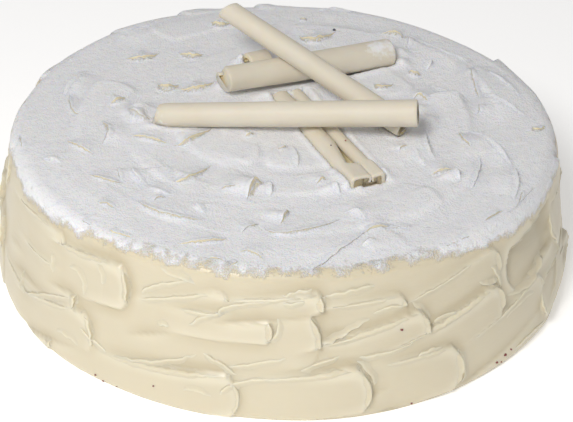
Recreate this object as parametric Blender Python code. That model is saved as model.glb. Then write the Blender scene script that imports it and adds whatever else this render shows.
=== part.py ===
"""A round frosted layer cake, uncut, with white chocolate rolls laid on its top.

Metres, +Z up. The origin is the middle of the cake's flat base. The front of the
cake faces -Y. The cake is one solid, because nothing inside it can be seen, and
each roll of chocolate is a solid of its own that rests in or on its neighbours.
"""
import math
import random

import bmesh
import bpy
import numpy as np
from mathutils import Vector

MM = 0.001

# Driving dimensions of the cake
CAKE_HEIGHT = 64 * MM
TOP_RADIUS = 112 * MM
BASE_RADIUS = 120.5 * MM
OVAL = 2.5 * MM
RIM_ROUND = 6 * MM
FLARE_START = 6 * MM
FLARE_POWER = 1.2
UNROLLED_RADIUS = 118 * MM
TOP_RINGS = 64
WALL_ROWS = 40
TRIANGLE_SHARE = 0.125
TOP_SOFTNESS = 3 * MM
LIP_PARTS = 8
LIP_FACE = 0.9 * MM

# Driving dimensions of the chocolate
CLEARANCE = 0.3 * MM
BED_CLEARANCE = 0.4 * MM
BED_SPARE = 2.6 * MM
BROAD_BED_SPARE = 6 * MM
SHEET = 1.7 * MM
SEAM_POWER = 2.5
FRONT_ROLL_RADIUS = 5.5 * MM
FRONT_ROLL_GROWTH = 0.12
LONG_ROLL_RADIUS = 5.5 * MM
LONG_ROLL_TAPER = 0.06
BROAD_ROLL_RADIUS = 6.3 * MM
BROAD_ROLL_GROWTH = 0.15
OUTER_LAP_SLANT = 8 * MM
INNER_LAP_REACH = 5 * MM
RIGHT_SCROLL_RADIUS = 3.5 * MM
LEFT_SCROLL_RADIUS = 4.2 * MM
LEFT_SCROLL_REACH = 9.1 * MM
SLIT_START = 0.59
SLIT_WIDEST = 0.84
SLIT_END = 0.87
SLIT_NARROW = 0.5 * MM
SLIT_WIDE = 4.2 * MM
SLIT_SHUT = 0.12 * MM
CURL_WIDTH = 5.2 * MM
CURL_HEIGHT = 4.4 * MM

# Where the middle line of each roll starts and ends
FRONT_ROLL = (Vector((-54.2, -1.8, 67.2)) * MM, Vector((54.2, -14.8, 79.4)) * MM)
LONG_ROLL = (Vector((49.8, -6.5, 67.6)) * MM, Vector((-26.6, 51.8, 89.6)) * MM)
BROAD_ROLL = (Vector((-24.8, 20.4, 71.8)) * MM, Vector((45.2, 57.0, 66.6)) * MM)
DOUBLE_SCROLL = (Vector((1.6, 25.0, 62.1)) * MM, Vector((35.2, -46.0, 65.0)) * MM)
SMALL_CURL = (Vector((-17.5, 46.6, 65.6)) * MM, Vector((-8.6, 51.5, 65.4)) * MM)


def clear_scene():
    for item in list(bpy.data.objects):
        bpy.data.objects.remove(item)


def finish(name, colour, roughness):
    material = bpy.data.materials.new(name)
    material.use_nodes = True
    shader = material.node_tree.nodes["Principled BSDF"]
    shader.inputs["Base Color"].default_value = (*colour, 1)
    shader.inputs["Roughness"].default_value = roughness
    shader.inputs["Metallic"].default_value = 0
    return material


def eased(x):
    x = np.clip(x, 0, 1)
    return x * x * (3 - 2 * x)


def lay_pass(relief, along, across, length, half_width, low, high, tilt=0.0, bead=0.7 * MM, soft=1.4 * MM):
    """Levels the frosting under one pass of a palette knife.

    The pass starts softly at along = 0 and lifts off at along = length, where it
    leaves a rounded step, soft wide. Its upper edge keeps a thin bead.
    """
    side = across / half_width
    past_end = along - length + 0.45 * half_width * side ** 2
    inside = eased((1 - np.abs(side)) * half_width / soft)
    inside = inside * eased(along / (0.3 * length)) * eased(-past_end / soft)
    travel = np.clip(along / length, 0, 1)
    level = low + (high - low) * travel ** 1.6 + tilt * side
    relief = relief + (level - relief) * inside
    edge = np.exp(-((side - 1) * half_width / (1.3 * MM)) ** 2)
    edge = edge * eased(travel * 2.2) * eased(-past_end / (3 * MM)) * (along > 0)
    return relief + bead * edge


# Knife passes round the wall that show from the front, oldest first. Each has
# its start and its end, as millimetres right of the front middle and above the
# base, then half its width, its depth at the start, its height at the end, and
# how much higher its upper edge is than its middle.
FRONT_PASSES = (
    (-150, 40, -96, 46, 11, -0.4, 1.2, 0.3),
    (-160, 12, -100, 8, 10, 0.0, 1.6, 0.4),
    (-140, 30, -88, 33, 8, -0.6, 1.5, 0.4),
    (-133, 6, -78, 22, 9, -0.3, 1.2, 0.6),
    (-112, 40, -62, 47, 10, -0.2, 1.9, 0.3),
    (-68, 33, -18, 49, 8, -0.9, 0.9, 0.8),
    (-84, 4, -14, 11, 10.5, 0.2, 1.6, 0.4),
    (-58, 29, 17, 38, 12.5, -0.6, 1.7, 0.4),
    (-50, 39, -2, 41, 6, 0.6, 2.2, 0.2),
    (-30, 46, 18, 52, 5, 0.2, 1.8, 0.3),
    (12, 42, 53, 45, 7, -1.4, 0.6, 0.7),
    (44, 36, 100, 51, 8.5, -1.0, 1.0, 0.6),
    (6, 24, 62, 37, 7.5, -1.0, 1.5, 0.7),
    (26, 15, 100, 35, 8.5, -0.8, 1.8, 0.8),
    (70, 9, 130, 24, 9.5, -0.9, 1.2, 0.8),
    (-22, 7, 37, 14, 11, -0.2, 2.0, 0.3),
    (34, 11, 77, 13, 11.5, -0.4, 1.7, 0.4),
    (186, 42, 143, 41, 10, -1.8, 0.8, -1.2),
    (182, 22, 126, 15, 9.5, -1.2, 1.4, -0.8),
    (148, 46, 103, 41, 10, -3.4, -1.4, -1.6),
)


def wall_passes():
    """The passes on the far side, drawn by chance in rows, then those in front."""
    draw = random.Random(7)
    rows = ((50, 9.5), (34, 10), (19, 10), (8, 9.5))
    hidden = []
    for height, half_width in rows:
        start = 110 + draw.uniform(0, 45)
        while start < 550:
            length = draw.uniform(44, 66)
            rise = draw.uniform(-3, 6)
            hidden.append((start, height + draw.uniform(-2, 2), start + length, height + rise,
                           half_width + draw.uniform(-1.5, 1.5), draw.uniform(-1.2, -0.2),
                           draw.uniform(0.9, 2.1), draw.uniform(0.2, 0.8)))
            start += length * draw.uniform(0.62, 0.82)
    draw.shuffle(hidden)
    return hidden + list(FRONT_PASSES)


def wall_relief(round_wall, height):
    """Depth of the frosting's surface over the plain wall, by place on the wall."""
    lap = 2 * math.pi * UNROLLED_RADIUS
    relief = 0.4 * MM * np.sin(6 * round_wall / UNROLLED_RADIUS + height / (19 * MM))
    for start, low_v, end, high_v, half_width, low, high, tilt in wall_passes():
        length = math.hypot(end - start, high_v - low_v) * MM
        cos = (end - start) * MM / length
        sin = (high_v - low_v) * MM / length
        right = (round_wall - start * MM + lap / 2) % lap - lap / 2
        up = height - low_v * MM
        along = right * cos + up * sin
        across = (up * cos - right * sin) * math.copysign(1, end - start)
        relief = lay_pass(relief, along, across, length, half_width * MM, low * MM, high * MM, tilt * MM)
    return relief


# Sweeps of the knife over the top, oldest first: middle of the sweep's circle, its
# radius, the angles where it starts and ends, half its width, its depth at the
# start and its height at the end.
TOP_SWEEPS = (
    (0, 0, 96, 20, 130, 13, -0.4, 1.0),
    (0, 0, 98, 128, 232, 12, -0.6, 0.9),
    (0, 0, 97, 214, 300, 12, -0.3, 0.9),
    (0, 0, 98, 292, 392, 13, -0.8, 1.0),
    (4, 2, 76, 150, 60, 11, -0.6, 1.2),
    (2, 4, 78, -8, 66, 12, -0.9, 1.3),
    (-4, 0, 74, 246, 156, 11, -0.6, 1.3),
    (0, 6, 80, 244, 318, 11, -0.5, 1.1),
    (8, 4, 62, -62, 22, 10, -0.8, 1.4),
    (-6, 6, 52, 262, 176, 9, -0.9, 1.3),
    (0, 10, 58, 232, 300, 9, -0.6, 1.4),
    (6, 8, 46, 120, 20, 10, -0.5, 1.0),
    (-4, 6, 34, 170, 262, 9, -0.7, 1.2),
    (2, 2, 30, 330, 250, 10, -0.4, 1.0),
    (0, 10, 24, 60, 200, 9, -0.3, 0.9),
)

# Lips where the knife lifted off the top: the start, middle and end of the lip's
# crest, its height, and how far the slope behind it runs. The steep face is on the
# right of the way from start to end.
LIPS = (
    (-56, 30, -52, 24, -47, 29, 2.8, 8), (-75, 10, -72, 11, -69, 15, 2.2, 7),
    (-77, -4, -73, -13, -75, -22, 1.9, 7), (-46, -21, -39, -18, -31, -6, 2.0, 8),
    (-64, -14, -56, -18, -48, -19, 1.5, 7), (-61, -38, -60, -44, -54, -51, 1.9, 8),
    (-44, -49, -37, -46, -30, -35, 1.7, 8), (-57, -62, -45, -73, -30, -74, 1.4, 9),
    (-66, -83, -62, -85, -57, -88, 1.4, 6), (-40, -91, -30, -90, -21, -87, 1.3, 7),
    (-14, -59, -12, -52, -8, -48, 3.6, 10), (-1, -76, 1, -71, 2, -66, 2.0, 7),
    (-7, -78, 3, -83, 22, -72, 1.3, 9), (31, -81, 36, -78, 42, -76, 1.6, 6),
    (24, -67, 29, -68, 32, -73, 1.9, 7), (42, 79, 49, 78, 53, 77, 1.8, 6),
    (54, 47, 56, 43, 59, 44, 2.2, 6), (84, 59, 73, 61, 57, 79, 1.9, 12),
    (82, 54, 82, 37, 84, 25, 1.3, 7), (103, 9, 93, 20, 85, 29, 2.0, 14),
    (79, 22, 71, 27, 63, 36, 1.5, 12), (93, -29, 87, -15, 78, -3, 2.0, 14),
    (91, -55, 94, -42, 93, -29, 1.5, 10), (105, -41, 101, -56, 93, -70, 1.6, 6),
    (59, -38, 64, -36, 69, -36, 1.8, 7), (71, -43, 70, -38, 68, -34, 1.8, 8),
    (62, -27, 59, -17, 59, -5, 1.6, 10), (-72, 52, -65, 50, -58, 56, 2.0, 7),
    (-49, 58, -43, 54, -38, 57, 2.2, 7), (-36, 87, -32, 82, -27, 86, 2.2, 7),
    (-46, 26, -39, 24, -32, 31, 2.4, 8), (5, 76, 12, 70, 21, 79, 2.6, 8),
    (-67, 5, -62, -3, -56, -2, 2.4, 9), (-113, -20, -111, -25, -108, -25, 2.0, 6),
    (104, 1, 106, -1, 110, 3, 2.4, 6), (38, 34, 41, 29, 46, 33, 1.8, 6),
    (30, 100, 22, 104, 12, 101, 1.6, 9), (-60, 84, -70, 77, -78, 66, 1.6, 10),
    (-88, 40, -93, 30, -96, 16, 1.4, 9), (88, 48, 96, 38, 101, 26, 1.4, 8),
)


def lip_relief(x, y, lip):
    """A crest along a bent line, with a long slope behind it and a steep face."""
    x0, y0, x1, y1, x2, y2, height, back = [value * MM for value in lip]
    way = np.linspace(0, 1, LIP_PARTS + 1)
    pull_x, pull_y = 2 * x1 - (x0 + x2) / 2, 2 * y1 - (y0 + y2) / 2
    line_x = (1 - way) ** 2 * x0 + 2 * way * (1 - way) * pull_x + way ** 2 * x2
    line_y = (1 - way) ** 2 * y0 + 2 * way * (1 - way) * pull_y + way ** 2 * y2
    best = np.full(x.shape, np.inf)
    signed = np.zeros(x.shape)
    travel = np.zeros(x.shape)
    for part in range(LIP_PARTS):
        step_x, step_y = line_x[part + 1] - line_x[part], line_y[part + 1] - line_y[part]
        off_x, off_y = x - line_x[part], y - line_y[part]
        size = math.hypot(step_x, step_y)
        share = np.clip((off_x * step_x + off_y * step_y) / size ** 2, 0, 1)
        gap = np.hypot(off_x - share * step_x, off_y - share * step_y)
        closer = gap < best
        best = np.where(closer, gap, best)
        signed = np.where(closer, np.copysign(gap, step_x * off_y - step_y * off_x), signed)
        travel = np.where(closer, (part + share) / LIP_PARTS, travel)
    taper = eased(travel / 0.3) * eased((1 - travel) / 0.22)
    behind = np.exp(-(np.maximum(signed, 0) / back) ** 2)
    face = np.exp(-(np.minimum(signed, 0) / LIP_FACE) ** 2)
    return height * behind * face * taper


def top_relief(x, y):
    relief = 0.5 * MM * np.sin(x / (23 * MM) + 1.0) * np.sin(y / (27 * MM) + 0.4)
    for middle_x, middle_y, radius, start, end, half_width, low, high in TOP_SWEEPS:
        turn = 1 if end > start else -1
        reach = np.hypot(x - middle_x * MM, y - middle_y * MM)
        angle = np.degrees(np.arctan2(y - middle_y * MM, x - middle_x * MM))
        gone = ((angle - start) * turn + 20) % 360 - 20
        along = np.radians(gone) * radius * MM
        length = math.radians(abs(end - start)) * radius * MM
        relief = lay_pass(relief, along, reach - radius * MM, length, half_width * MM,
                          low * MM, high * MM, 0.3 * MM, 0.2 * MM, TOP_SOFTNESS)
    for lip in LIPS:
        relief = relief + lip_relief(x, y, lip)
    return relief


def outline(radius, angle):
    return radius + OVAL * np.cos(2 * angle)


def unit_disc(rings):
    """Points of a square grid bent into a disc, so they lie evenly."""
    line = np.linspace(-1, 1, 2 * rings + 1)
    a, b = np.meshgrid(line, line, indexing="ij")
    wide = np.abs(a) >= np.abs(b)
    with np.errstate(divide="ignore", invalid="ignore"):
        angle = np.where(wide, math.pi / 4 * b / a, math.pi / 2 - math.pi / 4 * a / b)
    angle = np.nan_to_num(angle)
    reach = np.where(wide, a, b)
    return reach * np.cos(angle), reach * np.sin(angle)


def wall_profile(rows):
    """Fraction past the rim, height, and slope of the plain wall, top to base."""
    rim = [math.pi / 2 * step / 5 for step in range(1, 6)]
    levels = [(1 - math.sin(t), CAKE_HEIGHT - RIM_ROUND * (1 - math.cos(t))) for t in rim]
    drop = CAKE_HEIGHT - RIM_ROUND
    skirt = -3 * MM
    levels += [(0.0, drop + (skirt - drop) * step / rows) for step in range(1, rows + 1)]
    return levels


def cake_mesh():
    """The cake's skin, a little below its base, closed by a bottom face."""
    unit_x, unit_y = unit_disc(TOP_RINGS)
    count = unit_x.shape[0]
    angle = np.arctan2(unit_y, unit_x)
    edge = outline(TOP_RADIUS - RIM_ROUND, angle)
    x, y = unit_x * edge, unit_y * edge
    reach = np.hypot(x, y)
    wall_share = eased((reach - edge + 10 * MM) / (10 * MM))
    round_wall = UNROLLED_RADIUS * ((angle + math.pi / 2 + math.pi) % (2 * math.pi) - math.pi)
    over_rim = CAKE_HEIGHT + (edge - reach)
    relief = (1 - wall_share) * top_relief(x, y) + wall_share * wall_relief(round_wall, over_rim)
    points = [Vector(p) for p in zip(x.flat, y.flat, (CAKE_HEIGHT + relief).flat)]
    faces = []
    for i in range(count - 1):
        for j in range(count - 1):
            a = i * count + j
            faces.append((a, a + count, a + count + 1, a + 1))

    # The square grid's border, walked once round, carries the wall.
    last = count - 1
    border = [i * count for i in range(last)]
    border += [last * count + j for j in range(last)]
    border += [i * count + last for i in range(last, 0, -1)]
    border += [j for j in range(last, 0, -1)]
    around = np.array([angle.flat[i] for i in border])
    unrolled = UNROLLED_RADIUS * ((around + math.pi / 2 + math.pi) % (2 * math.pi) - math.pi)
    previous = border
    for inset, height in wall_profile(WALL_ROWS):
        lowness = np.clip((CAKE_HEIGHT - RIM_ROUND - height) / (CAKE_HEIGHT - RIM_ROUND - FLARE_START), 0, 1)
        radius = TOP_RADIUS + (BASE_RADIUS - TOP_RADIUS) * (1 - (1 - lowness) ** FLARE_POWER)
        radius = outline(radius, around) - RIM_ROUND * inset
        tilt = inset * math.pi / 2
        depth = wall_relief(unrolled, np.full(len(border), max(height, 0)))
        flat_radius = radius + depth * math.cos(tilt)
        level = height + depth * math.sin(tilt) * (1 if inset > 0 else 0)
        start = len(points)
        for place in range(len(border)):
            points.append(Vector((flat_radius[place] * math.cos(around[place]),
                                  flat_radius[place] * math.sin(around[place]), level[place])))
        for place in range(len(border)):
            after = (place + 1) % len(border)
            faces.append((previous[place], start + place, start + after, previous[after]))
        previous = list(range(start, start + len(border)))
    faces.append(tuple(reversed(previous)))

    mesh = bpy.data.meshes.new("frosted_cake")
    mesh.from_pydata(points, [], faces)
    shape = bmesh.new()
    shape.from_mesh(mesh)
    bmesh.ops.triangulate(shape, faces=shape.faces)
    bmesh.ops.recalc_face_normals(shape, faces=shape.faces)
    shape.to_mesh(mesh)
    shape.free()
    return mesh


def new_object(name, mesh, material):
    item = bpy.data.objects.new(name, mesh)
    bpy.context.scene.collection.objects.link(item)
    item.data.materials.append(material)
    return item


def swept_mesh(name, outline_at, start, end, stations, end_shift=None):
    """A closed solid with a changing outline along a straight line.

    The outline's first axis points to the right of the line as seen from above,
    and its second axis upwards. end_shift moves single points of the two ends
    along the line, for a broken or slanting end.
    """
    line = (end - start).normalized()
    right = line.cross(Vector((0, 0, 1))).normalized()
    up = right.cross(line)
    points = []
    for t in stations:
        ring = outline_at(t)
        for place, (a, b) in enumerate(ring):
            point = start.lerp(end, t) + right * a + up * b
            if end_shift and t in (stations[0], stations[-1]):
                point += line * end_shift(t, place, len(ring), a, b)
            points.append(point)
    size = len(outline_at(0))
    faces = []
    for row in range(len(stations) - 1):
        for place in range(size):
            after = (place + 1) % size
            a, b = row * size + place, row * size + after
            faces.append((a, b, b + size, a + size))
    faces.append(tuple(reversed(range(size))))
    faces.append(tuple(range((len(stations) - 1) * size, len(stations) * size)))
    mesh = bpy.data.meshes.new(name)
    mesh.from_pydata(points, [], faces)
    shape = bmesh.new()
    shape.from_mesh(mesh)
    bmesh.ops.triangulate(shape, faces=shape.faces)
    bmesh.ops.recalc_face_normals(shape, faces=shape.faces)
    shape.to_mesh(mesh)
    shape.free()
    mesh.shade_smooth()
    mesh.set_sharp_from_angle(angle=math.radians(40))
    return mesh


def scroll_outline(radius, turns, seam, squash=1.0, steps=14, winding=1, roundness=2.0):
    """Cross-section of a sheet rolled into a scroll, outer face then inner face.

    A roundness of 2 gives a round scroll, and higher values flatten its sides.
    """
    pitch = SHEET + CLEARANCE
    count = int(round(turns * steps))
    outer, inner = [], []
    for step in range(count + 1):
        laps, part_lap = divmod(step / steps, 1)
        angle = seam + winding * 2 * math.pi * step / steps
        cos, sin = math.cos(angle), math.sin(angle)
        fullness = (abs(cos) ** roundness + abs(sin) ** roundness) ** (-1 / roundness)
        reach = radius - pitch * (laps + part_lap ** SEAM_POWER)
        outer.append((reach * fullness * cos, squash * reach * fullness * sin))
        reach = reach - SHEET
        inner.append((reach * fullness * cos, squash * reach * fullness * sin))
    return outer + inner[::-1]


def front_roll():
    """The slim roll across the front, its left end pressed into the frosting."""
    def outline_at(t):
        radius = FRONT_ROLL_RADIUS * (0.86 + 0.14 * min(1, t / 0.04)) * (1 + FRONT_ROLL_GROWTH * t)
        return scroll_outline(radius, 1.75, math.radians(215))

    def slant(t, place, size, a, b):
        return (0.35 * b + 0.3 * MM * math.sin(5 * a / MM)) if t == 0 else 0.0

    return swept_mesh("front_roll", outline_at, *FRONT_ROLL, (0, 0.04, 0.3, 0.6, 0.97, 1), slant)


def long_roll():
    """The long roll that leans from the frosting up over the broad roll."""
    def outline_at(t):
        radius = LONG_ROLL_RADIUS * (1 - LONG_ROLL_TAPER * t)
        return scroll_outline(radius, 1.6, math.radians(300), 0.97, winding=-1)

    def slant(t, place, size, a, b):
        return -0.41 * (0.75 * a + 0.66 * b) - 0.8 * MM if t == 1 else 0.0

    return swept_mesh("long_roll", outline_at, *LONG_ROLL, (0, 0.35, 0.7, 1), slant)


def broad_roll():
    """The broad, slightly flattened roll behind, open at its left end."""
    def outline_at(t):
        radius = BROAD_ROLL_RADIUS * (1 + BROAD_ROLL_GROWTH * t)
        return scroll_outline(radius, 1.4, math.radians(-130), 0.96, 18, winding=-1)

    def telescope(t, place, size, a, b):
        layer = (place if place < size / 2 else size - 1 - place) / (size / 2)
        lowness = (1 - b / BROAD_ROLL_RADIUS) / 2
        shift = OUTER_LAP_SLANT * (1 - layer) * lowness - INNER_LAP_REACH * min(1, 1.6 * layer)
        return shift if t == 0 else 0.0

    return swept_mesh("broad_roll", outline_at, *BROAD_ROLL, (0, 0.15, 0.5, 0.85, 1), telescope)


def double_scroll():
    """One sheet rolled in from both sides. A slit between the two scrolls opens
    towards the front and ends where their flattened tops meet."""
    def outline_at(t):
        opening = max(0.0, min(1.0, (t - SLIT_START) / (SLIT_WIDEST - SLIT_START)))
        flat = max(0.0, min(1.0, (t - SLIT_WIDEST) / (SLIT_END - SLIT_WIDEST)))
        slit = (SLIT_NARROW + (SLIT_WIDE - SLIT_NARROW) * opening) * (1 - flat) + SLIT_SHUT * flat
        roundness = 2 + 3 * flat
        left = scroll_outline(LEFT_SCROLL_RADIUS, 1.25, math.radians(-90), 0.95, 12, 1, roundness)
        right = scroll_outline(RIGHT_SCROLL_RADIUS, 1.25, math.radians(-90), 1.0, 12, -1, roundness)
        half = len(left) // 2
        stretch = (LEFT_SCROLL_REACH - slit) / (max(a for a, b in left) - min(a for a, b in left))
        left = [(a * stretch, b) for a, b in left]
        left_side = min(a for a, b in left)
        right_side = max(a for a, b in right)
        left = [(a - left_side + slit, b) for a, b in left]
        right = [(a - right_side, b) for a, b in right]
        outer = right[:half][::-1] + left[:half]
        inner = left[half:] + right[half:][::-1]
        return outer + inner

    stations = (0, 0.3, SLIT_START, 0.5 * (SLIT_START + SLIT_WIDEST), SLIT_WIDEST, SLIT_END, 1)
    return swept_mesh("double_scroll", outline_at, *DOUBLE_SCROLL, stations)


def small_curl():
    """A broken piece of curl lying behind the broad roll."""
    def outline_at(t):
        outer = [(CURL_WIDTH * math.cos(math.radians(a)), CURL_HEIGHT * math.sin(math.radians(a)))
                 for a in range(-20, 201, 22)]
        inner = [(0.68 * a, 0.62 * b - 0.2 * MM) for a, b in outer]
        return outer + inner[::-1]

    return swept_mesh("small_curl", outline_at, *SMALL_CURL, (0, 0.5, 1))


def bed_for(name, ends, half_width, half_height, cutters, roundness=2.0, growth=0.0, aside=0.0,
            longer=BED_SPARE):
    """Room for a roll in the frosting, longer and wider than the roll by a little."""
    start, end = ends
    spare = (end - start).normalized() * longer
    points = 24

    def outline_at(t):
        ring = []
        for step in range(points):
            cos, sin = math.cos(2 * math.pi * step / points), math.sin(2 * math.pi * step / points)
            fullness = (abs(cos) ** roundness + abs(sin) ** roundness) ** (-1 / roundness)
            across = (half_width * (1 + growth * t) + BED_CLEARANCE) * fullness * cos
            ring.append((aside + across, (half_height * (1 + growth * t) + BED_CLEARANCE) * fullness * sin))
        return ring

    mesh = swept_mesh(name, outline_at, start - spare, end + spare, (0, 1))
    bed = bpy.data.objects.new(name, mesh)
    cutters.objects.link(bed)
    bed.hide_render = True
    bed.display_type = "WIRE"


def cut_cake(cake):
    """Thins the cake's skin to its main forms, beds the rolls and flattens the base."""
    thin = cake.modifiers.new("thin", "DECIMATE")
    thin.ratio = TRIANGLE_SHARE
    cutters = bpy.data.collections.new("beds")
    bpy.context.scene.collection.children.link(cutters)
    bed_for("front_bed", FRONT_ROLL, FRONT_ROLL_RADIUS, FRONT_ROLL_RADIUS, cutters, growth=FRONT_ROLL_GROWTH)
    bed_for("long_bed", LONG_ROLL, LONG_ROLL_RADIUS, LONG_ROLL_RADIUS, cutters)
    bed_for("broad_bed", BROAD_ROLL, BROAD_ROLL_RADIUS, BROAD_ROLL_RADIUS, cutters,
            growth=BROAD_ROLL_GROWTH, longer=BROAD_BED_SPARE)
    scrolls_half = RIGHT_SCROLL_RADIUS + 0.5 * LEFT_SCROLL_REACH
    scrolls_aside = 0.5 * LEFT_SCROLL_REACH - RIGHT_SCROLL_RADIUS
    bed_for("scroll_bed", DOUBLE_SCROLL, 1.05 * scrolls_half, LEFT_SCROLL_RADIUS, cutters,
            roundness=6.0, aside=scrolls_aside)
    bed_for("curl_bed", SMALL_CURL, CURL_WIDTH, CURL_HEIGHT, cutters)
    span = 3 * BASE_RADIUS
    board_mesh = bpy.data.meshes.new("board_level")
    shape = bmesh.new()
    bmesh.ops.create_cube(shape, size=span)
    bmesh.ops.translate(shape, verts=shape.verts, vec=(0, 0, -span / 2))
    shape.to_mesh(board_mesh)
    shape.free()
    board = bpy.data.objects.new("board_level", board_mesh)
    cutters.objects.link(board)
    board.hide_render = True
    board.display_type = "WIRE"
    cut = cake.modifiers.new("beds", "BOOLEAN")
    cut.operation = "DIFFERENCE"
    cut.operand_type = "COLLECTION"
    cut.collection = cutters
    cut.solver = "MANIFOLD"


def build():
    clear_scene()
    ivory = finish("cream_frosting", (0.83, 0.74, 0.55), 0.45)
    chocolate = finish("white_chocolate", (0.80, 0.70, 0.52), 0.38)
    cake = new_object("frosted_cake", cake_mesh(), ivory)
    cut_cake(cake)
    for mesh in (front_roll(), long_roll(), broad_roll(), double_scroll(), small_curl()):
        new_object(mesh.name, mesh, chocolate)


build()
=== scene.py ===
"""The looks of a round frosted layer cake with white chocolate rolls on its top.

Metres, +Z up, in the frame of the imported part. The front of the cake faces -Y.
"""
import math
import random

import bmesh
import bpy
import numpy as np
from mathutils import Matrix, Vector, noise


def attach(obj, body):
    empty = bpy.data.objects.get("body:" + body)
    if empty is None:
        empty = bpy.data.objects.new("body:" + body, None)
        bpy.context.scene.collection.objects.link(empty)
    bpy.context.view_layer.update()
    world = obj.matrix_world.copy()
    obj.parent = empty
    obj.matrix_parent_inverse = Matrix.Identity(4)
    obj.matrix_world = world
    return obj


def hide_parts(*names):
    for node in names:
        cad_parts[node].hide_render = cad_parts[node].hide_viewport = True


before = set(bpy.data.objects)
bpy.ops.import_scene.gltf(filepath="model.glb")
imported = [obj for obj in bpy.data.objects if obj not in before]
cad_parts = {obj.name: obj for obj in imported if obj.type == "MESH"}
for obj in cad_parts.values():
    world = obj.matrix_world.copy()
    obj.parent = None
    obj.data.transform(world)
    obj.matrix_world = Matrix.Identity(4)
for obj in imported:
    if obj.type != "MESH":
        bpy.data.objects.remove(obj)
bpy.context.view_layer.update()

# The frosted cake.
# A round layer cake covered all over with cream cheese frosting, laid on with a
# palette knife in overlapping passes. Icing sugar was sifted over the top, and it
# stays off the steep faces of the knife marks.
MM = 0.001
CAKE_HEIGHT = 64 * MM
TOP_RADIUS = 112 * MM
BASE_RADIUS = 120.5 * MM
OVAL = 2.5 * MM
RIM_ROUND = 6 * MM
DROP = CAKE_HEIGHT - RIM_ROUND
FLARE_START = 6 * MM
FLARE_POWER = 1.2
UNROLLED_RADIUS = 118 * MM
TOP_RINGS = 104
RIM_ROWS = 7
WALL_ROWS = 60
FRONT_BIAS = 0.22
WALL_SOFTNESS = 1.1 * MM
TOP_SOFTNESS = 3 * MM
BEAD_WIDTH = 1.0 * MM
WALL_BEAD = 0.55 * MM
TOP_BEAD = 0.2 * MM
TOP_TILT = 0.3 * MM
BASE_TUCK = 1.2 * MM
SUGAR_LINE = 62.8 * MM
SUGAR_LINE_SOFTNESS = 6.5 * MM
# Cream in painted shade, for hollows, and cream in painted light, for ridges.
CREAM_IN_PAINTED_SHADE = (0.55, 0.475, 0.325)
CREAM_IN_PAINTED_LIGHT = (0.775, 0.722, 0.57)
CREAM_BARE = (0.88, 0.775, 0.52)
CREAM_DEEP = (0.84, 0.72, 0.47)
SUGAR = (0.97, 0.975, 0.995)
SUGAR_SHADE = (0.83, 0.85, 0.91)
SKIN_BARE_TONE = 2.0


def eased(x):
    """Goes from 0 to 1 with no kink at either end."""
    x = np.clip(x, 0, 1)
    return x * x * (3 - 2 * x)


def top_edge(around):
    """How far out the flat top goes, before the rim rounds over."""
    return TOP_RADIUS - RIM_ROUND + OVAL * np.cos(2 * around)


def unrolled(around):
    """How far right of the front middle a direction lies, on the wall laid flat."""
    return UNROLLED_RADIUS * ((around + math.pi / 2 + math.pi) % (2 * math.pi) - math.pi)


def pass_cover(along, across, length, half_width, soft):
    """How fully one pass of the knife covers a place, how far to the side of it that
    lies, and how far past its end."""
    side = across / half_width
    past_end = along - length + 0.45 * half_width * side ** 2
    inside = eased((1 - np.abs(side)) * half_width / soft)
    return inside * eased(along / (0.3 * length)) * eased(-past_end / soft), side, past_end


def lay_pass(relief, along, across, length, half_width, low, high, tilt, bead, soft):
    """Levels the frosting under one pass of the knife, up to the step where it lifts off."""
    inside, side, past_end = pass_cover(along, across, length, half_width, soft)
    travel = np.clip(along / length, 0, 1)
    level = low + (high - low) * travel ** 1.6 + tilt * side
    relief = relief + (level - relief) * inside
    edge = np.exp(-((side - 1) * half_width / BEAD_WIDTH) ** 2)
    edge = edge * eased(travel * 2.2) * eased(-past_end / (3 * MM)) * (along > 0)
    return relief + bead * edge


# Each pass round the wall has its start and its end, as millimetres right of the
# front middle and above the base, then half its width, its depth at the start, its
# height at the end, and how much higher its upper edge is than its middle.
FRONT_PASSES = (
    (-150, 40, -96, 46, 11, -0.4, 1.2, 0.3),
    (-160, 12, -100, 8, 10, 0.0, 1.6, 0.4),
    (-140, 30, -88, 33, 8, -0.6, 1.5, 0.4),
    (-133, 6, -78, 22, 9, -0.3, 1.2, 0.6),
    (-112, 40, -62, 47, 10, -0.2, 1.9, 0.3),
    (-68, 33, -18, 49, 8, -0.9, 0.9, 0.8),
    (-84, 4, -14, 11, 10.5, 0.2, 1.6, 0.4),
    (-58, 29, 17, 38, 12.5, -0.6, 1.7, 0.4),
    (-50, 39, -2, 41, 6, 0.6, 2.2, 0.2),
    (-30, 46, 18, 52, 5, 0.2, 1.8, 0.3),
    (12, 42, 53, 45, 7, -1.4, 0.6, 0.7),
    (44, 36, 100, 51, 8.5, -1.0, 1.0, 0.6),
    (6, 24, 62, 37, 7.5, -1.0, 1.5, 0.7),
    (26, 15, 100, 35, 8.5, -0.8, 1.8, 0.8),
    (70, 9, 130, 24, 9.5, -0.9, 1.2, 0.8),
    (-22, 7, 37, 14, 11, -0.2, 2.0, 0.3),
    (34, 11, 77, 13, 11.5, -0.4, 1.7, 0.4),
    (186, 42, 143, 41, 10, -1.8, 0.8, -1.2),
    (182, 22, 126, 15, 9.5, -1.2, 1.4, -0.8),
    (148, 46, 103, 41, 10, -3.4, -1.4, -1.6),
)


# Rows of passes on the far side: the height and half the width of each row, and the
# stretch of the wall that they fill.
HIDDEN_ROWS = ((50, 9.5), (34, 10), (19, 10), (8, 9.5))
HIDDEN_FROM, HIDDEN_TO = 110, 550


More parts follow.
